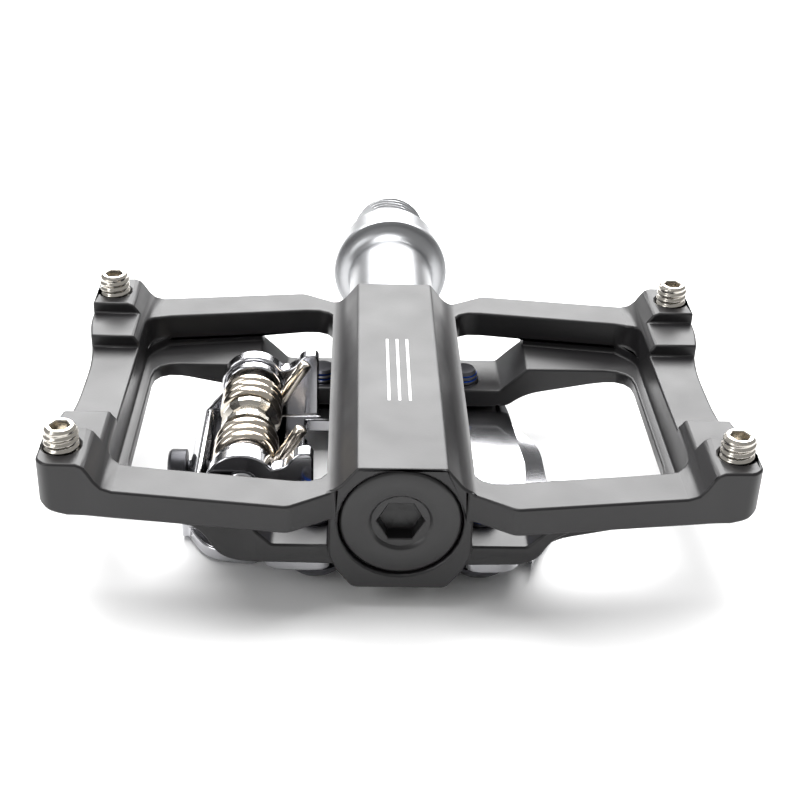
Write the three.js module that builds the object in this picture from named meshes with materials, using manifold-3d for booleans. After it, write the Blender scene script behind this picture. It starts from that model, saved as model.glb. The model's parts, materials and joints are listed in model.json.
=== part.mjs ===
// Clipless bicycle pedal: a wide platform on one face, a sprung cleat mechanism on the other.
// Millimetres. The spindle lies along Y, the crank is towards +Y, the platform face looks up (+Z).
// The origin is on the spindle axis, in the face of the shoulder that meets the crank arm.
// The rear of the pedal, with the sprung claw, is towards -X and the fixed front claw towards +X.
import * as THREE from 'three';
import { mergeVertices } from 'three/addons/utils/BufferGeometryUtils.js';
import Module from 'manifold-3d';

const wasm = await Module();
wasm.setup();

// Platform body
const BODY_Y = -65;
const HUB_HALF_LENGTH = 30.3;
const HUB_TOP = 9.3;
const HUB_BOTTOM = -11.2;
const HUB_HALF_WIDTH = 10.3;
const HUB_TOP_HALF_WIDTH = 6.3;
const HUB_FOOT_HALF_WIDTH = 6.8;
const FRAME_TOP = 5.3;
const FRAME_BOTTOM = 0.8;
const FRAME_HALF_LENGTH = 51;
const KINK_X = 15.9;
const KINK_Y = 34.1;
const BLOCK_INNER_X = 45.2;
const BLOCK_FOOT_X = 40.4;
const BLOCK_STEP_Y = 20.4;
const BLOCK_STEP_TOP = 7.4;
const RAIL_START_Y = 12.2;
const RAIL_WAIST_X = 49.3;
const WINDOW_OUTER_X = 42.3;
const WINDOW_HUB_Y = 27.9;
const WINDOW_RAIL_Y = 23.5;
const LEDGE_TOP = -0.4;
const LEDGE_INNER_X = 40.7;
const LEDGE_INNER_Y = 17.4;
const ARM_TOP = -4.8;
const ARM_BOTTOM = -8.2;
const ARM_OUTER_Y = 28.8;
const RAMP_START_X = 18.5;
const RAMP_END_X = 22.9;

// Traction pins
const PIN_X = 47.9;
const PIN_Y = 25.2;
const PIN_RADIUS = 2.5;
const PIN_TOP = 12.6;
const PIN_LENGTH = 9;

// Spindle and bearings
const THREAD_RADIUS = 7.14;
const THREAD_LENGTH = 12.5;
const THREAD_PITCH = 1.27;
const SHOULDER_RADIUS = 9.5;
const SHOULDER_LENGTH = 8.3;
const COLLAR_RADIUS = 10.85;
const COLLAR_LENGTH = 1.9;
const AXLE_RADIUS = 7.8;
const AXLE_FLARE = 2.6;
const JOURNAL_RADIUS = 6;
const BEARING_SEAT_RADIUS = 4;
const BEARING_WIDTH = 5;
const BORE_RADIUS = 7.3;
const BORE_FIT = 0.2;
const CAP_RADIUS = 8.87;
const CAP_DEPTH = 4.2;

// Rear binding
const PIVOT_X = -23.6;
const PIVOT_Z = -2.8;
const PIVOT_PIN_RADIUS = 2.4;
const CHEEK_RADIUS = 5.5;
const CHEEK_OUTER_Y = 16.8;
const CHEEK_INNER_Y = 14.2;
const CLAW_ARM_OUTER_Y = 13.9;
const CLAW_ARM_INNER_Y = 12.1;
const SPRING_WIRE_RADIUS = 1;
const SPRING_RADIUS = 4.05;
const SPRING_PITCH = 2.08;
const SPRING_START_Y = 4;
const SPRING_COILS = 3;
const SPRING_FRONT_LEG_ANGLE = -32;
const SPRING_REAR_LEG_ANGLE = -60;
const TENSION_SCREW_Z = -10.2;
const TENSION_SCREW_RADIUS = 1.3;

// Plates under the arms
const PLATE_TOP = -8.5;
const PLATE_BOTTOM = -10.9;
const JAW_TOP = -12.4;
const JAW_BOTTOM = -14.6;
const PLATE_SCREW_X = 12.3;
const PLATE_SCREW_Y = 21.5;
const PLATE_SCREW_RADIUS = 2.5;
const PLATE_SCREW_HEAD_RADIUS = 4.75;
const CLEARANCE = 0.3;

const radians = THREE.MathUtils.degToRad;

// ---- geometry helpers ----

function signedVolume(geometry) {
  const index = geometry.index.array;
  const place = geometry.attributes.position;
  const corner = [new THREE.Vector3(), new THREE.Vector3(), new THREE.Vector3()];
  let volume = 0;
  for (let i = 0; i < index.length; i += 3) {
    corner.forEach((v, k) => v.fromBufferAttribute(place, index[i + k]));
    volume += corner[0].dot(corner[1].clone().cross(corner[2])) / 6;
  }
  return volume;
}

// One welded, closed mesh without flat triangles, its faces pointing out.
function weld(source) {
  const plain = source.clone();
  plain.deleteAttribute('normal');
  plain.deleteAttribute('uv');
  const geometry = mergeVertices(plain, 1e-4);
  const kept = [];
  const index = geometry.index.array;
  for (let i = 0; i < index.length; i += 3) {
    const [a, b, c] = [index[i], index[i + 1], index[i + 2]];
    if (a !== b && b !== c && c !== a) kept.push(a, b, c);
  }
  geometry.setIndex(kept);
  if (signedVolume(geometry) < 0) {
    for (let i = 0; i < kept.length; i += 3) [kept[i], kept[i + 1]] = [kept[i + 1], kept[i]];
    geometry.setIndex(kept);
  }
  return geometry;
}

function solid(source) {
  const geometry = weld(source);
  const mesh = new wasm.Mesh({
    numProp: 3,
    vertProperties: new Float32Array(geometry.attributes.position.array),
    triVerts: new Uint32Array(geometry.index.array),
  });
  return new wasm.Manifold(mesh);
}

function toGeometry(manifold) {
  const mesh = manifold.getMesh();
  const geometry = new THREE.BufferGeometry();
  geometry.setAttribute('position', new THREE.BufferAttribute(mesh.vertProperties, 3));
  geometry.setIndex(new THREE.BufferAttribute(mesh.triVerts, 1));
  return geometry;
}

function union(solids) {
  return solids.reduce((sum, next) => sum.add(next));
}

function cut(body, solids) {
  return solids.reduce((rest, next) => rest.subtract(next), body);
}

function box(x0, x1, y0, y1, z0, z1) {
  const geometry = new THREE.BoxGeometry(x1 - x0, y1 - y0, z1 - z0);
  return geometry.translate((x0 + x1) / 2, (y0 + y1) / 2, (z0 + z1) / 2);
}

// An outline in plan, between two heights.
function planPrism(shape, z0, z1, segments = 4) {
  const options = { depth: z1 - z0, bevelEnabled: false, curveSegments: segments };
  return new THREE.ExtrudeGeometry(shape, options).translate(0, 0, z0);
}

// An outline in the XZ plane, between two places along Y.
function sidePrism(shape, y0, y1, segments = 5) {
  const options = { depth: y1 - y0, bevelEnabled: false, curveSegments: segments };
  return new THREE.ExtrudeGeometry(shape, options).rotateX(Math.PI / 2).translate(0, y1, 0);
}

function cylinderY(radius, y0, y1, segments = 28) {
  return new THREE.CylinderGeometry(radius, radius, y1 - y0, segments).translate(0, (y0 + y1) / 2, 0);
}

function cylinderZ(radius, z0, z1, segments = 16) {
  const geometry = new THREE.CylinderGeometry(radius, radius, z1 - z0, segments);
  return geometry.rotateX(Math.PI / 2).translate(0, 0, (z0 + z1) / 2);
}

function cylinderX(radius, x0, x1, segments = 16) {
  const geometry = new THREE.CylinderGeometry(radius, radius, x1 - x0, segments);
  return geometry.rotateZ(Math.PI / 2).translate((x0 + x1) / 2, 0, 0);
}

// A ring of rectangular section about the Y axis.
function ringY(inner, outer, y0, y1, segments = 20) {
  const corners = [[inner, y0], [outer, y0], [outer, y1], [inner, y1], [inner, y0]];
  return turned(corners, segments);
}

function turned(corners, segments = 32) {
  return new THREE.LatheGeometry(corners.map(([r, y]) => new THREE.Vector2(r, y)), segments);
}

// A closed path through corners [x, y, rounding], where a rounding of 0 is a sharp corner.
function rounded(corners, path = new THREE.Shape()) {
  const count = corners.length;
  corners.forEach(([x, y, rounding = 0], i) => {
    const here = new THREE.Vector2(x, y);
    const before = new THREE.Vector2(...corners[(i + count - 1) % count].slice(0, 2));
    const after = new THREE.Vector2(...corners[(i + 1) % count].slice(0, 2));
    const enter = before.sub(here).setLength(rounding).add(here);
    const leave = after.sub(here).setLength(rounding).add(here);
    if (i === 0) path.moveTo(enter.x, enter.y);
    else path.lineTo(enter.x, enter.y);
    if (rounding > 0) path.quadraticCurveTo(x, y, leave.x, leave.y);
  });
  path.closePath();
  return path;
}

// Corners of one half repeated on the other side of the X axis.
function mirrored(corners) {
  const other = corners.map(([x, y, rounding]) => [x, -y, rounding]).reverse();
  return [...corners, ...other];
}

// ---- platform body ----

function hubProfile() {
  const side = [
    [HUB_TOP_HALF_WIDTH, HUB_TOP, 0.4],
    [8.9, 6, 1.2],
    [HUB_HALF_WIDTH + 0.3, FRAME_TOP, 0],
    [HUB_HALF_WIDTH, 4.6, 0],
    [HUB_HALF_WIDTH, -5.6, 1],
    [9.1, ARM_BOTTOM, 0.6],
    [HUB_FOOT_HALF_WIDTH, HUB_BOTTOM, 0.8],
  ];
  const other = side.map(([x, z, rounding]) => [-x, z, rounding]).reverse();
  return rounded([...side, ...other]);
}

// Outline of the front half of the frame in plan, with its window.
function framePlan() {
  const slope = (KINK_Y - HUB_HALF_LENGTH) / (BLOCK_INNER_X - KINK_X);
  const shape = rounded(mirrored([
    [0, HUB_HALF_LENGTH, 0],
    [9.6, HUB_HALF_LENGTH, 0],
    [KINK_X, KINK_Y, 0.8],
    [BLOCK_INNER_X, KINK_Y - slope * (BLOCK_INNER_X - KINK_X), 2],
    [49.6, HUB_HALF_LENGTH, 0.8],
    [FRAME_HALF_LENGTH, HUB_HALF_LENGTH - 1.4, 0.8],
    [FRAME_HALF_LENGTH, 17, 3],
    [RAIL_WAIST_X, 8, 5],
  ]));
  const window = mirrored([[HUB_HALF_WIDTH, WINDOW_HUB_Y, 5], [WINDOW_OUTER_X, WINDOW_RAIL_Y, 4]]);
  shape.holes.push(rounded(window.reverse(), new THREE.Path()));
  return shape;
}

// Heights of the frame along X: a flat beam, then a smooth rise to the corner blocks.
function frameHeights() {
  const shape = new THREE.Shape();
  shape.moveTo(0, FRAME_TOP);
  shape.lineTo(BLOCK_FOOT_X, FRAME_TOP);
  shape.bezierCurveTo(BLOCK_FOOT_X + 3, FRAME_TOP, BLOCK_INNER_X - 2, HUB_TOP, BLOCK_INNER_X, HUB_TOP);
  shape.lineTo(FRAME_HALF_LENGTH + 1, HUB_TOP);
  shape.lineTo(FRAME_HALF_LENGTH + 1, 3.4);
  shape.quadraticCurveTo(FRAME_HALF_LENGTH - 0.3, 1.6, 47, FRAME_BOTTOM);
  shape.lineTo(0, FRAME_BOTTOM);
  shape.closePath();
  return shape;
}

// The thin ledge that runs round the lower edge of the window.
function ledge() {
  const outline = rounded([
    [RAMP_START_X, -26, 0], [47, -25.4, 2], [47, 25.4, 2], [RAMP_START_X, 26, 0],
    [RAMP_START_X, LEDGE_INNER_Y, 0], [LEDGE_INNER_X, LEDGE_INNER_Y, 4.5],
    [LEDGE_INNER_X, -LEDGE_INNER_Y, 4.5], [RAMP_START_X, -LEDGE_INNER_Y, 0],
  ]);
  const depth = rounded([[RAMP_START_X, ARM_TOP, 0], [RAMP_START_X, ARM_BOTTOM + 0.2, 0],
    [20, ARM_BOTTOM + 0.4, 1], [22.8, -5.5, 2.5], [36, -2.8, 4], [50, -2.2, 0], [50, LEDGE_TOP, 0],
    [RAMP_END_X, LEDGE_TOP, 0]]);
  const flange = solid(planPrism(outline, -9, 1)).intersect(solid(sidePrism(depth, -30, 30)));
  const web = rounded([[RAMP_END_X, -26.2, 0], [39, -24, 0], [42.3, -20, 2], [42.3, 20, 2], [39, 24, 0],
    [RAMP_END_X, 26.2, 0], [RAMP_END_X, 29.5, 0], [45, 27.5, 0], [48, 22, 0], [48, -22, 0], [45, -27.5, 0],
    [RAMP_END_X, -29.5, 0]]);
  return flange.add(solid(planPrism(web, LEDGE_TOP - 0.5, FRAME_BOTTOM + 0.5)));
}

// The arm profile: level beside the hub, then a ramp up to the beam.
function armProfile(reach) {
  return rounded([
    [8, ARM_TOP, 0], [RAMP_START_X, ARM_TOP, 0.5], [RAMP_END_X, LEDGE_TOP, 0],
    [38, LEDGE_TOP, 0], [reach + 9, -1.2, 3], [reach + 3.6, -3.6, 1.5],
    [reach + 1.4, -7.2, 1.5], [reach - 1, ARM_BOTTOM + 0.2, 1], [8, ARM_BOTTOM, 0],
  ]);
}

function arms(reach) {
  const slab = solid(sidePrism(armProfile(reach), -ARM_OUTER_Y, ARM_OUTER_Y));
  const outline = rounded(mirrored([[4, 30, 0], [10, 30, 0], [26, 28.2, 3], [38, 25.4, 0]]));
  const gap = box(0, 60, -LEDGE_INNER_Y, LEDGE_INNER_Y, -20, 20);
  return slab.intersect(solid(planPrism(outline, -12, 4))).subtract(solid(gap));
}

function frameHalf(reach) {
  const slab = solid(planPrism(framePlan(), FRAME_BOTTOM, HUB_TOP));
  const frame = slab.intersect(solid(sidePrism(frameHeights(), -KINK_Y - 1, KINK_Y + 1)));
  const stepped = cut(frame, [
    solid(box(36, 60, -BLOCK_STEP_Y, BLOCK_STEP_Y, BLOCK_STEP_TOP, 20)),
    solid(box(36, 60, -RAIL_START_Y, RAIL_START_Y, FRAME_TOP, 20)),
  ]);
  return union([stepped, ledge(), arms(reach)]);
}

function platformBody() {
  const hub = solid(sidePrism(hubProfile(), -HUB_HALF_LENGTH, HUB_HALF_LENGTH));
  const front = frameHalf(18.6);
  const rear = frameHalf(25).mirror([1, 0, 0]);
  const holes = [
    solid(cylinderY(BORE_RADIUS, -HUB_HALF_LENGTH - 1, HUB_HALF_LENGTH + 1)),
    solid(cylinderY(CAP_RADIUS + 0.15, -HUB_HALF_LENGTH - 1, CAP_DEPTH - HUB_HALF_LENGTH, 32)),
  ];
  for (const x of [-1, 1]) {
    for (const y of [-1, 1]) {
      const pinHole = cylinderZ(PIN_RADIUS + BORE_FIT, -10, 20);
      const screwHole = cylinderZ(PLATE_SCREW_RADIUS + BORE_FIT, -20, 0);
      holes.push(solid(pinHole.translate(x * PIN_X, y * PIN_Y, 0)));
      holes.push(solid(screwHole.translate(x * PLATE_SCREW_X, y * PLATE_SCREW_Y, 0)));
    }
  }
  return toGeometry(cut(union([hub, front, rear]), holes));
}

// ---- fasteners ----

// A hexagonal bore of the given width across its flats, along Z.
function hexagon(acrossFlats, z0, z1) {
  return cylinderZ(acrossFlats / Math.sqrt(3), z0, z1, 6);
}

// Threaded stud: a row of shallow grooves one pitch apart, with a socket in its upper end.
function stud(radius, length, pitch, socket, socketDepth, segments = 12) {
  const depth = 0.3 * pitch;
  const corners = [[0, 0], [radius - depth, 0]];
  for (let z = pitch / 2; z < length - pitch / 2; z += pitch) {
    corners.push([radius, z]);
    corners.push([radius - depth, z + pitch / 2]);
  }
  corners.push([radius - depth, length], [0, length]);
  const body = solid(turned(corners, segments).rotateX(Math.PI / 2));
  return body.subtract(solid(hexagon(socket, length - socketDepth, length + 1)));
}

function tractionPin() {
  const pin = stud(PIN_RADIUS, PIN_LENGTH, 1, 2.5, 2.5);
  return toGeometry(pin).translate(0, 0, PIN_TOP - PIN_LENGTH);
}

// Button-head screw, its dome downwards and its tip above the arm.
function plateScrew() {
  const seat = PLATE_BOTTOM - CLEARANCE;
  const head = PLATE_SCREW_HEAD_RADIUS;
  const dome = [[0, seat - 2.7], [1.9, seat - 2.7], [3.4, seat - 2.1], [4.4, seat - 1.1], [head, seat - 0.3]];
  const shank = [[head, seat], [PLATE_SCREW_RADIUS, seat], [PLATE_SCREW_RADIUS, -3.2], [2, -2.6], [0, -2.6]];
  const body = solid(turned([...dome, ...shank], 16).rotateX(Math.PI / 2));
  return toGeometry(body.subtract(solid(hexagon(3, seat - 4, seat - 0.9))));
}

// ---- spindle and bearings (all turned about the Y axis, y measured from the crank shoulder) ----

function spindle() {
  const hubFace = BODY_Y + HUB_HALF_LENGTH;
  const collarY = -SHOULDER_LENGTH - COLLAR_LENGTH;
  const outerEnd = BODY_Y - HUB_HALF_LENGTH + CAP_DEPTH + 2.2;
  const seatStep = outerEnd + 5 + 2 * BEARING_WIDTH + 8;
  const corners = [
    [0, outerEnd],
    [2.6, outerEnd],
    [3, outerEnd + 0.4],
    [3, outerEnd + 4.4],
    [BEARING_SEAT_RADIUS, outerEnd + 4.8],
    [BEARING_SEAT_RADIUS, seatStep],
    [5, seatStep],
    [JOURNAL_RADIUS, seatStep + 3],
    [JOURNAL_RADIUS, hubFace + 0.5],
    [AXLE_RADIUS - 0.5, hubFace + 0.6],
    [AXLE_RADIUS, hubFace + 1.1],
    [AXLE_RADIUS, collarY - AXLE_FLARE],
  ];
  for (let step = 1; step < 5; step += 1) {
    const turn = radians(90 * step / 5);
    const radius = AXLE_RADIUS + AXLE_FLARE * (1 - Math.cos(turn));
    corners.push([radius, collarY - AXLE_FLARE + AXLE_FLARE * Math.sin(turn)]);
  }
  corners.push([COLLAR_RADIUS - 0.3, collarY], [COLLAR_RADIUS, collarY + 0.3]);
  corners.push([COLLAR_RADIUS, collarY + COLLAR_LENGTH - 0.5]);
  corners.push([COLLAR_RADIUS - 0.5, collarY + COLLAR_LENGTH]);
  corners.push([SHOULDER_RADIUS, -SHOULDER_LENGTH], [SHOULDER_RADIUS, -0.3]);
  corners.push([SHOULDER_RADIUS - 0.3, 0], [THREAD_RADIUS + 0.2, 0], [THREAD_RADIUS + 0.2, -0.5]);
  corners.push([THREAD_RADIUS - 0.7, -0.5], [THREAD_RADIUS - 0.7, 1]);
  for (let y = 1 + THREAD_PITCH / 2; y < THREAD_LENGTH - 1; y += THREAD_PITCH) {
    corners.push([THREAD_RADIUS, y]);
    corners.push([THREAD_RADIUS - 0.7, y + THREAD_PITCH / 2]);
  }
  corners.push([THREAD_RADIUS - 1, THREAD_LENGTH], [0, THREAD_LENGTH]);
  const key = hexagon(8, -8, 8).rotateX(Math.PI / 2).translate(0, THREAD_LENGTH, 0);
  return toGeometry(solid(turned(corners, 26)).subtract(solid(key)));
}

// Balls held in a thin cage: one ring that turns at its own speed between the two races.
function ballSet(y, count = 7) {
  const middle = 5.55;
  const parts = [solid(ringY(middle - 0.25, middle + 0.25, y - 1.3, y + 1.3))];
  for (let i = 0; i < count; i += 1) {
    const turn = (2 * Math.PI * i) / count;
    const ball = new THREE.IcosahedronGeometry(0.85);
    parts.push(solid(ball.translate(middle * Math.cos(turn), y, middle * Math.sin(turn))));
  }
  return toGeometry(union(parts));
}

// The screw-in cap that closes the outer end of the hub, with its socket.
function endCap() {
  const face = -HUB_HALF_LENGTH + 0.3;
  const corners = [
    [0, face], [CAP_RADIUS - 0.7, face], [CAP_RADIUS, face + 0.7], [CAP_RADIUS, face + 2.3],
    [BORE_RADIUS - BORE_FIT, face + 2.3], [BORE_RADIUS - BORE_FIT, face + 5.2], [0, face + 5.2],
  ];
  const leadIn = solid(turned([[0, face - 1], [4.6, face - 1], [4.2, face + 0.5], [0, face + 0.5]], 20));
  const key = hexagon(6, -2.6, 6).rotateX(Math.PI / 2).translate(0, face + 1, 0);
  return toGeometry(solid(turned(corners, 32)).subtract(leadIn).subtract(solid(key)));
}

function lockNut(y) {
  const nut = hexagon(9, y, y + 3.4).rotateX(-Math.PI / 2);
  const hole = cylinderY(3.2, -1, 12, 16).translate(0, y - 2, 0);
  return toGeometry(solid(nut).subtract(solid(hole)));
}

// ---- front claw ----

// Plan of a jaw plate: broad wings with a round outer edge.
function jawPlan(inner, outer, width) {
  return rounded(mirrored([
    [inner, width - 5.6, 1.5],
    [inner + 4.6, width - 5, 1.5],
    [inner + 6.4, width, 2],
    [outer - 4.4, width - 1, 3.5],
    [outer, width - 9, 3.5],
  ]));
}

function frontClaw() {
  const foot = rounded(mirrored([[9.8, 26.8, 2.5], [17.5, 26.8, 3], [20, 19, 3], [21.4, 0, 4]]));
  const plate = solid(planPrism(foot, PLATE_BOTTOM, PLATE_TOP));
  const web = solid(box(17.4, 20.4, -13.5, 13.5, JAW_BOTTOM + 0.4, PLATE_TOP - 0.4));
  const jaw = solid(planPrism(jawPlan(14.4, 25.4, 20.5), JAW_BOTTOM, JAW_TOP));
  const mouth = solid(box(0, 17.4, -16, 16, JAW_TOP - 0.8, JAW_TOP + 1));
  const claw = cut(union([plate, web, jaw]), [mouth]);
  return toGeometry(cut(claw, plateScrewHoles(1)));
}

// Clearance holes for the plate screws, with room for their heads below the plate.
function plateScrewHoles(side) {
  return [-1, 1].flatMap((y) => {
    const hole = cylinderZ(PLATE_SCREW_RADIUS + BORE_FIT, -20, 0);
    const head = cylinderZ(PLATE_SCREW_HEAD_RADIUS + CLEARANCE, -20, PLATE_BOTTOM);
    const place = (part) => part.translate(side * PLATE_SCREW_X, y * PLATE_SCREW_Y, 0);
    return [solid(place(hole)), solid(place(head))];
  });
}

// ---- rear binding ----

// The cheek: a round eye for the pivot pin, a dip, then a hook that the spring legs bear on.
function cheekProfile() {
  const shape = new THREE.Shape();
  shape.moveTo(-12.8, -9);
  shape.lineTo(-12.8, 2);
  shape.quadraticCurveTo(-12.8, 3.2, -14, 3.2);
  shape.quadraticCurveTo(-15.6, 3.1, -16.4, 1.6);
  shape.quadraticCurveTo(-17.3, 0.2, -19.4, 0.3);
  shape.lineTo(-21, 1);
  shape.lineTo(PIVOT_X, 0);
  shape.lineTo(-24, -6);
  shape.lineTo(-21, -9);
  shape.closePath();
  return shape;
}

function rearBase() {
  const eye = cylinderY(CHEEK_RADIUS, -CHEEK_OUTER_Y, CHEEK_OUTER_Y).translate(PIVOT_X, 0, PIVOT_Z);
  const cheeks = solid(sidePrism(cheekProfile(), -CHEEK_OUTER_Y, CHEEK_OUTER_Y)).add(solid(eye));
  const between = solid(box(-40, 0, -CHEEK_INNER_Y, CHEEK_INNER_Y, -20, 20));
  const foot = rounded(mirrored([[-9.8, 26.8, 2.5], [-20.5, 26.8, 4], [-20.5, 0, 0]]));
  const plate = solid(planPrism(foot, PLATE_BOTTOM, PLATE_TOP));
  const opening = solid(box(-15, 0, -13, 13, -20, 0));
  const rear = solid(box(-30, -18.5, -14, 14, -20, 0));
  const pinHole = solid(cylinderY(PIVOT_PIN_RADIUS + BORE_FIT, -30, 30, 16).translate(PIVOT_X, 0, PIVOT_Z));
  const base = cut(plate, [opening, rear]).add(cheeks.subtract(between));
  return toGeometry(cut(base, [pinHole, ...plateScrewHoles(-1)]));
}

function pivotPin() {
  const half = CHEEK_OUTER_Y + 0.2;
  const radius = PIVOT_PIN_RADIUS;
  const corners = [[0, -half], [radius - 0.5, -half], [radius, 0.5 - half], [radius, half - 0.5],
    [radius - 0.5, half], [0, half]];
  return turned(corners, 16).translate(PIVOT_X, 0, PIVOT_Z);
}

function springBobbin() {
  const half = SPRING_START_Y - SPRING_WIRE_RADIUS - CLEARANCE;
  const bore = PIVOT_PIN_RADIUS + BORE_FIT;
  const corners = [[bore, -half], [4.6, -half], [4.6, 1 - half], [3.7, 1.4 - half], [3.7, half - 1.4],
    [4.6, half - 1], [4.6, half], [bore, half], [bore, -half]];
  return turned(corners, 16).translate(PIVOT_X, 0, PIVOT_Z);
}

// Torsion spring: a straight leg to the hook, close coils, and a straight leg to the tension plate.
class SpringWire extends THREE.Curve {
  constructor(side, frontLeg, rearLeg) {
    super();
    this.side = side;
    const wrap = SPRING_COILS * 360 + SPRING_FRONT_LEG_ANGLE - SPRING_REAR_LEG_ANGLE;
    this.sweep = radians(wrap);
    this.pieces = [frontLeg, this.sweep * SPRING_RADIUS, rearLeg];
    this.total = frontLeg + this.sweep * SPRING_RADIUS + rearLeg;
  }

  coilPoint(turned) {
    const angle = radians(SPRING_FRONT_LEG_ANGLE) - turned;
    const outer = SPRING_START_Y + (SPRING_PITCH * this.sweep) / (2 * Math.PI);
    const y = outer - (SPRING_PITCH * turned) / (2 * Math.PI);
    const x = PIVOT_X + SPRING_RADIUS * Math.cos(angle);
    const z = PIVOT_Z + SPRING_RADIUS * Math.sin(angle);
    const along = new THREE.Vector3(Math.sin(angle), 0, -Math.cos(angle));
    return { place: new THREE.Vector3(x, this.side * y, z), along };
  }

  getPoint(t) {
    const [front, coil] = this.pieces;
    const run = t * this.total;
    if (run < front) {
      const { place, along } = this.coilPoint(0);
      return place.addScaledVector(along, run - front);
    }
    if (run > front + coil) {
      const { place, along } = this.coilPoint(this.sweep);
      return place.addScaledVector(along, run - front - coil);
    }
    return this.coilPoint((run - front) / SPRING_RADIUS).place;
  }
}

function spring(side) {
  const wire = new SpringWire(side, 10, 6.6);
  const section = new THREE.Shape();
  section.absarc(0, 0, SPRING_WIRE_RADIUS, 0, 2 * Math.PI);
  const options = { steps: 56, curveSegments: 3, extrudePath: wire, bevelEnabled: false };
  return new THREE.ExtrudeGeometry(section, options);
}

// The sprung claw: two arms on the pivot pin, a rear wall, and the jaw plate under them.
function rearClaw() {
  const arm = rounded([[-28.6, -3.2, 0], [-19.4, -6, 0.5], [-20.6, JAW_BOTTOM + 0.3, 0],
    [-33.2, JAW_BOTTOM + 0.3, 0], [-33.4, -8.4, 2]]);
  const eye = cylinderY(5, -CLAW_ARM_OUTER_Y, CLAW_ARM_OUTER_Y, 24).translate(PIVOT_X, 0, PIVOT_Z);
  const sides = solid(sidePrism(arm, -CLAW_ARM_OUTER_Y, CLAW_ARM_OUTER_Y)).add(solid(eye));
  const room = solid(box(-30.8, -10, -CLAW_ARM_INNER_Y, CLAW_ARM_INNER_Y, JAW_TOP, 10));
  const above = solid(box(-40, -10, -CLAW_ARM_INNER_Y, CLAW_ARM_INNER_Y, -6.4, 10));
  const plan = jawPlan(14.6, 33.4, 20.6);
  const jaw = solid(planPrism(plan, JAW_BOTTOM, JAW_TOP)).mirror([1, 0, 0]);
  const lip = solid(box(-18.4, 0, -30, 30, JAW_TOP - 0.8, JAW_TOP + 1));
  const pinHole = solid(cylinderY(PIVOT_PIN_RADIUS + BORE_FIT, -30, 30, 16).translate(PIVOT_X, 0, PIVOT_Z));
  const screwHole = solid(cylinderX(TENSION_SCREW_RADIUS + CLEARANCE, -40, -28).translate(0, 0, TENSION_SCREW_Z));
  const claw = union([cut(sides, [room, above]), jaw.subtract(lip)]);
  return toGeometry(cut(claw, [pinHole, screwHole]));
}

function tensionPlate() {
  const outline = rounded(mirrored([[-25.4, 11, 0.6], [-23.4, 11, 0.6]]));
  const boss = solid(box(-25.4, -23.4, -2.5, 2.5, JAW_TOP + CLEARANCE, -7.6));
  const plate = solid(planPrism(outline, JAW_TOP + CLEARANCE, -9.9)).add(boss);
  const hole = solid(cylinderX(TENSION_SCREW_RADIUS + BORE_FIT, -40, -10).translate(0, 0, TENSION_SCREW_Z));
  return toGeometry(plate.subtract(hole));
}

function tensionScrew() {
  const corners = [[0, -36.8], [2.4, -36.8], [3, -36.2], [3, -33.8], [TENSION_SCREW_RADIUS, -33.8],
    [TENSION_SCREW_RADIUS, -20.6], [1.1, -20.2], [0, -20.2]];
  const screw = solid(turned(corners, 16).rotateZ(-Math.PI / 2));
  const key = hexagon(3, -1.4, 4).rotateY(-Math.PI / 2).translate(-36.8, 0, 0);
  return toGeometry(screw.subtract(solid(key))).translate(0, 0, TENSION_SCREW_Z);
}

// ---- assembly ----

const finish = {
  anodised: [0x1b1a1c, 0.45, 0.6],
  steel: [0xd0d0cc, 0.12, 1],
  chrome: [0xe8e8ea, 0.05, 1],
  nickel: [0xd2c8b8, 0.22, 1],
  satin: [0xc8c9cb, 0.35, 1],
  blackened: [0x2a2826, 0.4, 0.8],
  bronze: [0xa8814a, 0.4, 1],
  rubber: [0x151515, 0.9, 0],
};

function addPiece(parent, name, geometry, kind) {
  const [color, roughness, metalness] = finish[kind];
  const material = new THREE.MeshStandardMaterial({ color, roughness, metalness });
  const mesh = new THREE.Mesh(weld(geometry), material);
  mesh.name = name;
  parent.add(mesh);
  return mesh;
}

const group = new THREE.Group();
const body = new THREE.Group();
body.position.y = BODY_Y;
group.add(body);

addPiece(body, 'platform_body', platformBody(), 'anodised');
addPiece(body, 'end_cap', endCap(), 'blackened');
for (const [i, [x, y]] of [[-1, -1], [1, -1], [-1, 1], [1, 1]].entries()) {
  addPiece(body, `traction_pin_${i + 1}`, tractionPin().translate(x * PIN_X, y * PIN_Y, 0), 'nickel');
}

// Bearings from the outer end of the hub inwards, then the bush and seal at the crank end.
const nutY = -HUB_HALF_LENGTH + CAP_DEPTH + 2.7;
const firstBearingY = nutY + 3.4 + 0.8 + BEARING_WIDTH / 2;
const secondBearingY = firstBearingY + BEARING_WIDTH + 4;
addPiece(body, 'spindle', spindle().translate(0, -BODY_Y, 0), 'satin');
addPiece(body, 'lock_nut', lockNut(nutY), 'steel');
addPiece(body, 'lock_washer', ringY(4.15, 5.2, firstBearingY - 3.1, firstBearingY - 2.7), 'steel');
for (const [name, y] of [['outer', firstBearingY], ['inner', secondBearingY]]) {
  const [low, high] = [y - BEARING_WIDTH / 2, y + BEARING_WIDTH / 2];
  addPiece(body, `${name}_bearing_cup`, ringY(6.5, BORE_RADIUS - BORE_FIT, low, high), 'steel');
  addPiece(body, `${name}_bearing_cone`, ringY(4.15, 4.6, low, high), 'steel');
  addPiece(body, `${name}_bearing_balls`, ballSet(y), 'steel');
}
addPiece(body, 'bearing_spacer', ringY(4.15, 5, firstBearingY + 2.7, secondBearingY - 2.7), 'steel');
addPiece(body, 'axle_bushing', ringY(JOURNAL_RADIUS + BORE_FIT, BORE_RADIUS - BORE_FIT, 10, 26), 'bronze');
addPiece(body, 'axle_seal', ringY(JOURNAL_RADIUS + BORE_FIT, BORE_RADIUS - BORE_FIT, 27.2, 30.1), 'rubber');

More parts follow.
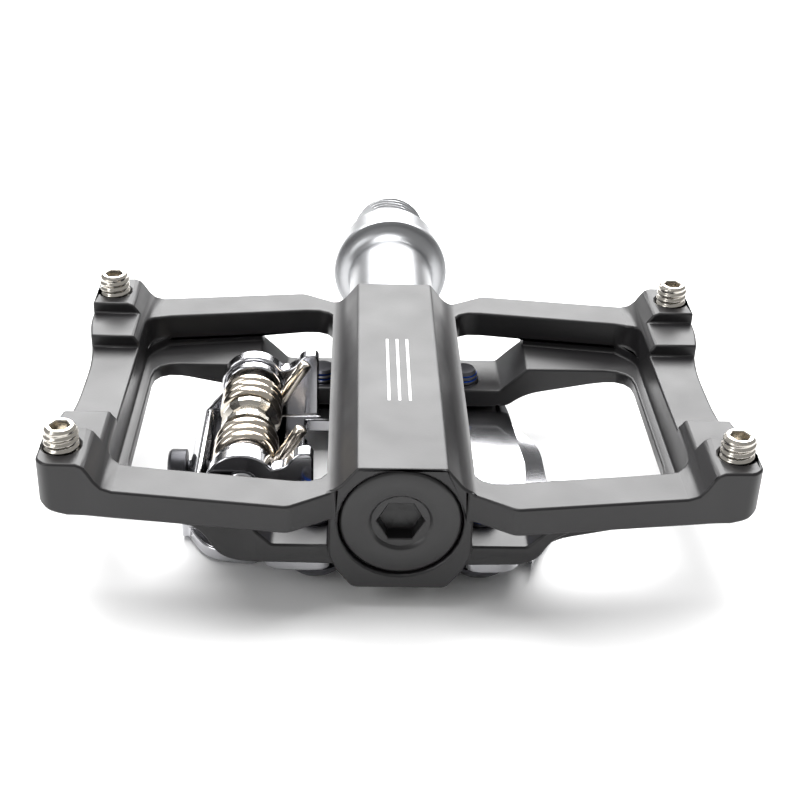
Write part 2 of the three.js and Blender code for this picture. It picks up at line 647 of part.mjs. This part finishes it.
addPiece(body, 'front_claw', frontClaw(), 'chrome');
addPiece(body, 'rear_binding_base', rearBase(), 'chrome');
addPiece(body, 'pivot_pin', pivotPin(), 'steel');
addPiece(body, 'spring_bobbin', springBobbin(), 'blackened');
for (const [end, x] of [['rear', -1], ['front', 1]]) {
  for (const [i, y] of [-1, 1].entries()) {
    const place = plateScrew().translate(x * PLATE_SCREW_X, y * PLATE_SCREW_Y, 0);
    addPiece(body, `${end}_plate_screw_${i + 1}`, place, 'blackened');
  }
}
addPiece(body, 'tension_spring_1', spring(-1), 'nickel');
addPiece(body, 'tension_spring_2', spring(1), 'nickel');
addPiece(body, 'rear_claw', rearClaw(), 'chrome');
addPiece(body, 'tension_plate', tensionPlate(), 'steel');
addPiece(body, 'tension_screw', tensionScrew(), 'blackened');

export default group;
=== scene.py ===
"""Looks for the clipless pedal. Lengths in the tables below are millimetres, in the frame of the model."""
import json
import math

import bmesh
import bpy
from mathutils import Matrix, Vector


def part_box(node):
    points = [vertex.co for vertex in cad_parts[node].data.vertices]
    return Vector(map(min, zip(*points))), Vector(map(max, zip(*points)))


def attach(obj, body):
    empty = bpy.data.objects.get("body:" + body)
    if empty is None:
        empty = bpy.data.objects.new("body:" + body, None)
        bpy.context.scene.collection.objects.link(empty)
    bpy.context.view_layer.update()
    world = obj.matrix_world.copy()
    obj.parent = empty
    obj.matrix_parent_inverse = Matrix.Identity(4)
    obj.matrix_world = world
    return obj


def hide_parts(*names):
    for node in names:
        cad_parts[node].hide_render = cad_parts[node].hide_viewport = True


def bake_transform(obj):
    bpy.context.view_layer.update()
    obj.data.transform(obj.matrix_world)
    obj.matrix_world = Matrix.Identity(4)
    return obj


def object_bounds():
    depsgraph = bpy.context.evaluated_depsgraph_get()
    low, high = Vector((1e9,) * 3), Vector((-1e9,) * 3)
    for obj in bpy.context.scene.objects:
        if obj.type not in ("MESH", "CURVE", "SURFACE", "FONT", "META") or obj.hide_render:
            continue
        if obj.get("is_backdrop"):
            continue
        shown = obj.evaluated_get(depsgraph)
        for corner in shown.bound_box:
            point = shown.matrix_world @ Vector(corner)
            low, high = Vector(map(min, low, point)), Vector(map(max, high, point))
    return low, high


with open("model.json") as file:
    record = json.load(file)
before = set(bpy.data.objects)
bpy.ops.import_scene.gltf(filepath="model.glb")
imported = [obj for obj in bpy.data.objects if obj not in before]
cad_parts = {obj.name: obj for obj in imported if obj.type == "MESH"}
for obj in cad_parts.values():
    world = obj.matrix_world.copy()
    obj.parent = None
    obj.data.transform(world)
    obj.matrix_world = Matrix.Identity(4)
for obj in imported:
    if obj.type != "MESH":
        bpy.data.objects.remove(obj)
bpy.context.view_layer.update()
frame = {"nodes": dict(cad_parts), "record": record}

MM = 0.001
TURN = 2 * math.pi
JOINTS = {joint["name"]: joint for joint in frame["record"]["behaviour"]["joints"]}
CENTRE_Y = JOINTS["platform_spin"]["pos_m"][1] / MM
PIVOT_X = JOINTS["claw_release"]["pos_m"][0] / MM
PIVOT_Z = JOINTS["claw_release"]["pos_m"][2] / MM
SCREW_Z = JOINTS["tension_screw_turn"]["pos_m"][2] / MM

# Springs
COIL_RADIUS = 4.05
WIRE_RADIUS = 1.0
COIL_PITCH = 2.08
COIL_INNER_Y = 4.0
COIL_SWEEP = math.radians(1108)
FRONT_LEG_ANGLE = math.radians(-32)
FRONT_LEG = 10.0
REAR_LEG = 6.6

# Camera, as it was fitted to the view of the pedal
CAMERA_PLACE = (-0.007745, -0.260862, 0.115035)
CAMERA_YAW = 0.042
CAMERA_PITCH = 0.519
CAMERA_ROLL = 0.037
CAMERA_LENS = 63.75


# ---- material helpers ----

def principled(name, color, roughness, metallic):
    material = bpy.data.materials.new(name)
    material.use_nodes = True
    shader = material.node_tree.nodes["Principled BSDF"]
    shader.inputs["Base Color"].default_value = (*color, 1)
    shader.inputs["Roughness"].default_value = roughness
    shader.inputs["Metallic"].default_value = metallic
    return material, material.node_tree, shader


def noise(tree, scale, detail=3.0):
    """Noise over object coordinates, with its own scale along each axis."""
    place = tree.nodes.new("ShaderNodeTexCoord")
    mapping = tree.nodes.new("ShaderNodeMapping")
    mapping.inputs["Scale"].default_value = scale
    texture = tree.nodes.new("ShaderNodeTexNoise")
    texture.inputs["Scale"].default_value = 1.0
    texture.inputs["Detail"].default_value = detail
    tree.links.new(place.outputs["Object"], mapping.inputs["Vector"])
    tree.links.new(mapping.outputs["Vector"], texture.inputs["Vector"])
    return texture.outputs["Fac"]


def spread(tree, value, low, high):
    """The value from 0 to 1, moved to run from low to high."""
    remap = tree.nodes.new("ShaderNodeMapRange")
    remap.inputs["From Min"].default_value = 0.25
    remap.inputs["From Max"].default_value = 0.75
    remap.inputs["To Min"].default_value = low
    remap.inputs["To Max"].default_value = high
    tree.links.new(value, remap.inputs["Value"])
    return remap.outputs["Result"]


def bump(tree, shader, height, strength, distance):
    node = tree.nodes.new("ShaderNodeBump")
    node.inputs["Strength"].default_value = strength
    node.inputs["Distance"].default_value = distance * MM
    tree.links.new(height, node.inputs["Height"])
    tree.links.new(node.outputs["Normal"], shader.inputs["Normal"])


def calculate(tree, operation, first, second):
    node = tree.nodes.new("ShaderNodeMath")
    node.operation = operation
    for socket, value in zip(node.inputs, (first, second)):
        if isinstance(value, (int, float)):
            socket.default_value = value
        else:
            tree.links.new(value, socket)
    return node.outputs[0]


def object_axes(tree):
    place = tree.nodes.new("ShaderNodeTexCoord")
    split = tree.nodes.new("ShaderNodeSeparateXYZ")
    tree.links.new(place.outputs["Object"], split.inputs["Vector"])
    return split.outputs


def between(tree, value, low, high):
    """1 where value lies between low and high, in millimetres."""
    above = calculate(tree, "GREATER_THAN", value, low * MM)
    below = calculate(tree, "LESS_THAN", value, high * MM)
    return calculate(tree, "MULTIPLY", above, below)


def tint(tree, shader, mask, color, under):
    mix = tree.nodes.new("ShaderNodeMix")
    mix.data_type = "RGBA"
    mix.inputs["A"].default_value = (*under, 1)
    mix.inputs["B"].default_value = (*color, 1)
    tree.links.new(mask, mix.inputs["Factor"])
    tree.links.new(mix.outputs["Result"], shader.inputs["Base Color"])


# ---- materials ----

def grained(name, color, roughness, metallic, grain=900, strength=0.12, spread_by=0.06):
    """A surface with a fine even grain and slightly uneven gloss."""
    material, tree, shader = principled(name, color, roughness, metallic)
    cloudy = noise(tree, (90, 90, 90))
    gloss = spread(tree, cloudy, roughness - spread_by, roughness + spread_by)
    tree.links.new(gloss, shader.inputs["Roughness"])
    bump(tree, shader, noise(tree, (grain, grain, grain)), strength, 0.05)
    return material


def anodised():
    """Black anodising over a blasted forging, with three plain printed lines along the hub top."""
    black = (0.011, 0.0104, 0.0112)
    material, tree, shader = principled("anodised_black", black, 0.4, 0.0)
    shader.inputs["Specular IOR Level"].default_value = 0.42
    gloss = spread(tree, noise(tree, (120, 120, 120)), 0.33, 0.43)
    tree.links.new(gloss, shader.inputs["Roughness"])
    bump(tree, shader, noise(tree, (2600, 2600, 2600)), 0.16, 0.04)
    x, y, z = object_axes(tree)[:3]
    lines = 0.0
    for offset in (-1.6, 0.0, 1.6):
        line = between(tree, x, offset - 0.2, offset + 0.2)
        lines = calculate(tree, "ADD", lines, line)
    along = between(tree, y, CENTRE_Y - 11, CENTRE_Y + 9)
    top = calculate(tree, "GREATER_THAN", z, 9.25 * MM)
    mask = calculate(tree, "MULTIPLY", calculate(tree, "MULTIPLY", lines, along), top)
    tint(tree, shader, mask, (0.75, 0.75, 0.75), black)
    return material


def turned_metal(name, color, roughness):
    """Turned metal: fine rings about the Y axis."""
    material, tree, shader = principled(name, color, roughness, 1.0)
    rings = noise(tree, (60, 14000, 60), 2.0)
    gloss = spread(tree, rings, roughness - 0.07, roughness + 0.09)
    tree.links.new(gloss, shader.inputs["Roughness"])
    bump(tree, shader, rings, 0.12, 0.02)
    return material


def threadlocked():
    """Black oxide screws with a blue ring of thread lock near the tip."""
    black = (0.09, 0.09, 0.1)
    material, tree, shader = principled("black_oxide", black, 0.34, 0.8)
    gloss = spread(tree, noise(tree, (400, 400, 400)), 0.26, 0.42)
    tree.links.new(gloss, shader.inputs["Roughness"])
    bump(tree, shader, noise(tree, (1800, 1800, 1800)), 0.1, 0.03)
    z = object_axes(tree)[2]
    rings = calculate(tree, "ADD", between(tree, z, -4.3, -3.9), between(tree, z, -3.4, -3.1))
    tint(tree, shader, rings, (0.01, 0.07, 0.4), black)
    return material


BODY = anodised()
CAP = grained("cap_black", (0.010, 0.0095, 0.010), 0.36, 0.0, 900, 0.12, 0.05)
NICKEL = grained("nickel", (0.56, 0.53, 0.48), 0.2, 1.0, 700, 0.06, 0.05)
SPRING = grained("spring_wire", (0.62, 0.56, 0.48), 0.16, 1.0, 500, 0.05, 0.05)
CHROME = grained("polished_chrome", (0.5, 0.5, 0.52), 0.14, 1.0, 300, 0.04, 0.03)
SATIN = turned_metal("satin_steel", (0.38, 0.385, 0.395), 0.36)
STEEL = turned_metal("ground_steel", (0.6, 0.6, 0.61), 0.25)
BRONZE = grained("bronze", (0.55, 0.36, 0.16), 0.4, 1.0)
RUBBER = grained("rubber", (0.02, 0.02, 0.02), 0.75, 0.0, 1500, 0.3)
SCREW = threadlocked()
OXIDE = grained("dark_steel", (0.05, 0.05, 0.055), 0.35, 0.8)


# ---- shape helpers ----

def new_piece(name, mesh, material, body, slot, *nodes):
    """A shown piece that stands for the named CAD nodes and moves with their body."""
    piece = bpy.data.objects.new(name, mesh)
    bpy.context.scene.collection.objects.link(piece)
    mesh.materials.clear()
    mesh.materials.append(material)
    if nodes:
        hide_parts(*nodes)
    if body:
        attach(piece, body)
    return piece


def smooth(mesh, angle):
    for polygon in mesh.polygons:
        polygon.use_smooth = True
    mesh.set_sharp_from_angle(angle=math.radians(angle))


def soften(piece, width, limit=28):
    edge = piece.modifiers.new("edges", "BEVEL")
    edge.width = width * MM
    edge.segments = 2
    edge.limit_method = "ANGLE"
    edge.angle_limit = math.radians(limit)
    edge.use_clamp_overlap = False


def refined(node, material, body, slot, width):
    """The CAD node's own shape with its flat areas cleaned and its edges softened."""
    mesh = frame["nodes"][node].data.copy()
    shape = bmesh.new()
    shape.from_mesh(mesh)
    bmesh.ops.remove_doubles(shape, verts=shape.verts, dist=0.01 * MM)
    bmesh.ops.dissolve_limit(shape, angle_limit=math.radians(1), verts=shape.verts, edges=shape.edges)
    bmesh.ops.recalc_face_normals(shape, faces=shape.faces)
    shape.to_mesh(mesh)
    shape.free()
    smooth(mesh, 32)
    piece = new_piece(node + "_skin", mesh, material, body, slot, node)
    soften(piece, width)
    return piece


def radius_at(ring_radius, angle):
    return ring_radius(angle) if callable(ring_radius) else ring_radius


def hex_ring(across_flats):
    """Radius of a hexagon at each angle, its corners at whole multiples of 60 degrees."""
    def radius(angle):
        side = angle % (TURN / 6) - TURN / 12
        return across_flats / 2 / math.cos(side)
    return radius


def thread_ring(outer, depth, pitch, height):
    """Radius at each angle of a screw thread cut at this height."""
    def radius(angle):
        phase = (height / pitch - angle / TURN) % 1.0
        wave = abs(2 * phase - 1)
        groove = min(1.0, max(0.0, 1.5 * wave - 0.25))
        return outer - depth * groove
    return radius


def thread(outer, depth, pitch, start, end):
    """Rings of a thread from start to end, fading out at both ends."""
    count = max(4, int(abs(end - start) / pitch * 8))
    rings = []
    for step in range(count + 1):
        height = start + (end - start) * step / count
        edge = min(step, count - step) / 4
        full = thread_ring(outer, depth, pitch, height)
        rings.append((faded(full, outer - depth, min(1.0, edge)), height))
    return rings


def faded(radius, root, amount):
    return lambda angle: root + (radius(angle) - root) * amount


def turned_mesh(name, rings, place, axis="Y", segments=96, angle=30):
    """A closed mesh from rings of (radius, height) about an axis through place."""
    mesh = bpy.data.meshes.new(name)
    shape = bmesh.new()
    basis = {"Y": (0, 2, 1), "Z": (0, 1, 2), "X": (1, 2, 0)}[axis]
    place = Vector(place)

    def vertex(radius, height, turn):
        local = [0.0, 0.0, 0.0]
        local[basis[0]] = radius * math.cos(turn)
        local[basis[1]] = radius * math.sin(turn)
        local[basis[2]] = height
        return shape.verts.new((place + Vector(local)) * MM)

    loops = []
    for radius, height in rings:
        turns = [TURN * i / segments for i in range(segments)]
        loops.append([vertex(radius_at(radius, turn), height, turn) for turn in turns])
    for low, high in zip(loops, loops[1:]):
        for i in range(segments):
            j = (i + 1) % segments
            shape.faces.new((low[i], low[j], high[j], high[i]))
    for loop, height in ((loops[0], rings[0][1]), (loops[-1], rings[-1][1])):
        middle = vertex(0, height, 0)
        for i in range(segments):
            shape.faces.new((middle, loop[i], loop[(i + 1) % segments]))
    bmesh.ops.recalc_face_normals(shape, faces=shape.faces)
    shape.to_mesh(mesh)
    shape.free()
    smooth(mesh, angle)
    return mesh


def socket(across_flats, depth, rim, height, direction):
    """Rings of a hexagon socket: its floor, its wall and the chamfer at its mouth."""
    deep = height - direction * depth
    flat = hex_ring(across_flats)
    mouth = hex_ring(across_flats + 0.3)
    return [(0.3, deep - direction * 0.3), (flat, deep), (flat, height - direction * 0.15),
            (mouth, height), (rim, height)]


def middle_of(node):
    low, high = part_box(node)
    return (Vector(low) + Vector(high)) / 2 / MM


# ---- parts ----

def traction_pin(number):
    node = f"traction_pin_{number}"
    low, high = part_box(node)
    top, bottom = high[2] / MM, low[2] / MM
    centre = middle_of(node)
    rings = socket(2.5, 2.4, 1.9, top, 1)
    rings.append((2.25, top - 0.35))
    rings += thread(2.5, 0.34, 1.0, top - 0.45, bottom + 0.4)
    rings.append((1.8, bottom))
    mesh = turned_mesh(node, rings, (centre.x, centre.y, 0), "Z", 60, 40)
    new_piece(f"{node}_threaded", mesh, NICKEL, "platform", "nickel_pins", node)


def plate_screw(node):
    centre = middle_of(node)
    low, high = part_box(node)
    bottom, tip = low[2] / MM, high[2] / MM
    rings = socket(3.0, 1.8, 1.95, bottom, -1)
    rings += [(2.7, bottom + 0.25), (3.5, bottom + 0.7), (4.25, bottom + 1.4), (4.7, bottom + 2.3),
              (4.7, bottom + 2.65), (2.5, bottom + 2.7)]
    rings += thread(2.5, 0.3, 0.8, bottom + 2.9, tip - 0.4)
    rings.append((1.9, tip))
    mesh = turned_mesh(node, rings, (centre.x, centre.y, 0), "Z", 60, 40)
    new_piece(f"{node}_threaded", mesh, SCREW, "platform", "black_oxide_steel", node)


def spindle():
    low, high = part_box("spindle")
    end, tip = low[1] / MM, high[1] / MM
    rings = [(2.6, end), (3, end + 0.4), (3, end + 4.4), (4, end + 4.8), (4, end + 23), (5, end + 23),
             (6, end + 26), (6, -34.2), (7.3, -34.1), (7.7, -33.9), (7.8, -33.6), (7.8, -12.8)]
    for step in range(1, 12):
        turn = math.radians(90 * step / 12)
        rings.append((7.8 + 2.6 * (1 - math.cos(turn)), -12.8 + 2.6 * math.sin(turn)))
    rings += [(10.55, -10.2), (10.76, -10.1), (10.85, -9.9), (10.85, -8.8), (10.76, -8.55), (10.35, -8.3),
              (9.5, -8.3), (9.5, -0.3), (9.2, 0), (7.34, 0), (7.34, -0.5), (6.44, -0.5), (6.44, 0.9)]
    rings += thread(7.14, 0.7, 1.27, 1.0, tip - 0.9)
    rings.append((6.1, tip))
    rings += reversed(socket(8, 7.8, 5.6, tip, 1))
    mesh = turned_mesh("spindle", rings, (0, 0, 0), "Y", 120, 40)
    new_piece("spindle_turned", mesh, SATIN, "spindle", "satin_spindle", "spindle")


def end_cap():
    low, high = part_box("end_cap")
    face, back = low[1] / MM, high[1] / MM
    rings = [(0.3, face + 3.3), (hex_ring(6), face + 3), (hex_ring(6), face + 0.65), (hex_ring(6.3), face + 0.5),
             (4.2, face + 0.5), (4.55, face + 0.1), (4.75, face), (8.2, face), (8.6, face + 0.2),
             (8.82, face + 0.5), (8.87, face + 0.8), (8.87, face + 2.3), (7.1, face + 2.3), (7.1, back)]
    mesh = turned_mesh("end_cap", rings, (0, 0, 0), "Y", 120, 35)
    new_piece("end_cap_turned", mesh, CAP, "platform", "black_cap", "end_cap")


def pivot_pin():
    low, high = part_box("pivot_pin")
    start, end = low[1] / MM, high[1] / MM
    rings = [(1.5, start), (1.9, start + 0.06), (2.3, start + 0.35), (2.4, start + 0.6), (2.4, end - 0.6),
             (2.3, end - 0.35), (1.9, end - 0.06), (1.5, end)]
    mesh = turned_mesh("pivot_pin", rings, (PIVOT_X, 0, PIVOT_Z), "Y", 60, 40)
    new_piece("pivot_pin_turned", mesh, STEEL, "platform", "bearing_steel", "pivot_pin")


def tension_screw():
    low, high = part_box("tension_screw")
    head, tip = low[0] / MM, high[0] / MM
    rings = socket(3, 1.4, 1.95, head, -1)
    rings += [(2.5, head + 0.05), (2.9, head + 0.4), (3, head + 0.7), (3, head + 2.9), (2.9, head + 3), (1.3, head + 3)]
    rings += thread(1.3, 0.18, 0.8, head + 3.2, tip - 0.3)
    rings.append((1.0, tip))
    mesh = turned_mesh("tension_screw", rings, (0, CENTRE_Y, SCREW_Z), "X", 60, 40)
    new_piece("tension_screw_threaded", mesh, OXIDE, "tension_screw", "black_oxide_steel", "tension_screw")


def coil_point(side, turned):
    angle = FRONT_LEG_ANGLE - turned
    outer = COIL_INNER_Y + COIL_PITCH * COIL_SWEEP / TURN
    y = CENTRE_Y + side * (outer - COIL_PITCH * turned / TURN)
    place = Vector((PIVOT_X + COIL_RADIUS * math.cos(angle), y, PIVOT_Z + COIL_RADIUS * math.sin(angle)))
    return place, Vector((math.sin(angle), 0, -math.cos(angle)))


def spring_path(side):
    first, along = coil_point(side, 0)
    points = [first - along * FRONT_LEG * (1 - step / 10) for step in range(10)]
    steps = 220
    points += [coil_point(side, COIL_SWEEP * step / steps)[0] for step in range(steps + 1)]
    last, along = coil_point(side, COIL_SWEEP)
    points += [last + along * REAR_LEG * step / 8 for step in range(1, 9)]
    return points


def wire_mesh(name, points, radius, sides=20):
    """A round wire along the points, with rounded ends."""
    mesh = bpy.data.meshes.new(name)
    shape = bmesh.new()
    loops = []
    across = Vector((0, 1, 0))
    last = len(points) - 1
    for i, point in enumerate(points):
        along = (points[min(i + 1, last)] - points[max(i - 1, 0)]).normalized()
        across = (across - along * across.dot(along)).normalized()
        third = along.cross(across)
        sizes = [(0.0, 1.0)]
        if i in (0, last):
            out = -1 if i == 0 else 1
            sizes = [(0.0, 1.0), (0.12 * out, 0.96), (0.25 * out, 0.82), (0.32 * out, 0.55)]
            if i == 0:
                sizes.reverse()
        for shift, size in sizes:
            loop = []
            for k in range(sides):
                turn = TURN * k / sides
                arm = (across * math.cos(turn) + third * math.sin(turn)) * radius * size
                loop.append(shape.verts.new((point + along * shift + arm) * MM))
            loops.append(loop)
    for low, high in zip(loops, loops[1:]):
        for k in range(sides):
            j = (k + 1) % sides
            shape.faces.new((low[k], low[j], high[j], high[k]))
    shape.faces.new(loops[0])
    shape.faces.new(loops[-1])
    bmesh.ops.recalc_face_normals(shape, faces=shape.faces)
    shape.to_mesh(mesh)
    shape.free()
    smooth(mesh, 50)
    return mesh


def spring(number, side):
    node = f"tension_spring_{number}"
    mesh = wire_mesh(node, spring_path(side), WIRE_RADIUS)
    piece = new_piece(f"{node}_wire", mesh, SPRING, None, "spring_steel", node)
    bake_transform(piece)


# ---- the pedal ----

refined("platform_body", BODY, "platform", "anodised_body", 0.32)
refined("front_claw", CHROME, "platform", "polished_plates", 0.1)
refined("rear_binding_base", CHROME, "platform", "polished_plates", 0.28)
refined("rear_claw", CHROME, "rear_claw", "polished_plates", 0.28)
refined("tension_plate", STEEL, "tension_plate", "bearing_steel", 0.15)
for pin in (1, 2, 3, 4):
    traction_pin(pin)
for end in ("rear", "front"):
    for screw in (1, 2):
        plate_screw(f"{end}_plate_screw_{screw}")
spindle()
end_cap()
pivot_pin()
tension_screw()
spring(1, -1)
spring(2, 1)

KEPT = {"lock_nut": STEEL, "lock_washer": STEEL, "bearing_spacer": STEEL, "axle_bushing": BRONZE,
        "axle_seal": RUBBER, "spring_bobbin": NICKEL}
for race in ("outer", "inner"):
    for part in ("cup", "cone", "balls"):
        KEPT[f"{race}_bearing_{part}"] = STEEL
for node, material in KEPT.items():
    mesh = frame["nodes"][node].data
    mesh.materials.clear()
    mesh.materials.append(material)


# ---- floor, light and camera ----

def floor():
    low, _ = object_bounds()
    height = low[2] - 0.0002
    mesh = bpy.data.meshes.new("floor")
    reach = 3.0
    corners = [(-reach, -reach, height), (reach, -reach, height), (reach, reach, height), (-reach, reach, height)]
    mesh.from_pydata(corners, [], [(0, 1, 2, 3)])
    piece = bpy.data.objects.new("floor", mesh)
    bpy.context.scene.collection.objects.link(piece)
    mesh.materials.append(grained("pale_floor", (0.88, 0.88, 0.88), 0.6, 0.0, 300, 0.02))
    piece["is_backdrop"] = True


def lamp(name, place, size, power, target=(0, -0.065, 0)):
    data = bpy.data.lights.new(name, "AREA")
    data.shape = "RECTANGLE"
    data.size, data.size_y = size
    data.energy = power
    light = bpy.data.objects.new(name, data)
    light.location = place
    light.rotation_euler = (Vector(target) - Vector(place)).to_track_quat("-Z", "Y").to_euler()
    bpy.context.scene.collection.objects.link(light)


def sky():
    world = bpy.data.worlds.new("studio")
    world.use_nodes = True
    background = world.node_tree.nodes["Background"]
    background.inputs["Color"].default_value = (1, 1, 1, 1)
    background.inputs["Strength"].default_value = 0.42
    bpy.context.scene.world = world


def camera():
    data = bpy.data.cameras.new("camera")
    data.lens = CAMERA_LENS
    data.sensor_width = 36
    data.clip_start = 0.01
    item = bpy.data.objects.new("camera", data)
    yaw, pitch, roll = CAMERA_YAW, CAMERA_PITCH, CAMERA_ROLL
    ahead = Vector((math.sin(yaw) * math.cos(pitch), math.cos(yaw) * math.cos(pitch), -math.sin(pitch)))
    level = Vector((math.cos(yaw), -math.sin(yaw), 0))
    upright = level.cross(ahead)
    right = level * math.cos(roll) + upright * math.sin(roll)
    up = upright * math.cos(roll) - level * math.sin(roll)
    turn = Matrix((right, up, -ahead)).transposed().to_4x4()
    item.matrix_world = Matrix.Translation(CAMERA_PLACE) @ turn
    bpy.context.scene.collection.objects.link(item)
    bpy.context.scene.camera = item


floor()
sky()
lamp("softbox_back", (0.0, 0.55, 0.5), (0.9, 0.5), 13)
lamp("softbox_top", (-0.1, 0.1, 0.8), (0.6, 0.6), 9)
lamp("fill_left", (-0.6, -0.4, 0.35), (0.3, 0.5), 1.5)
camera()
bpy.context.scene.view_settings.view_transform = "Standard"
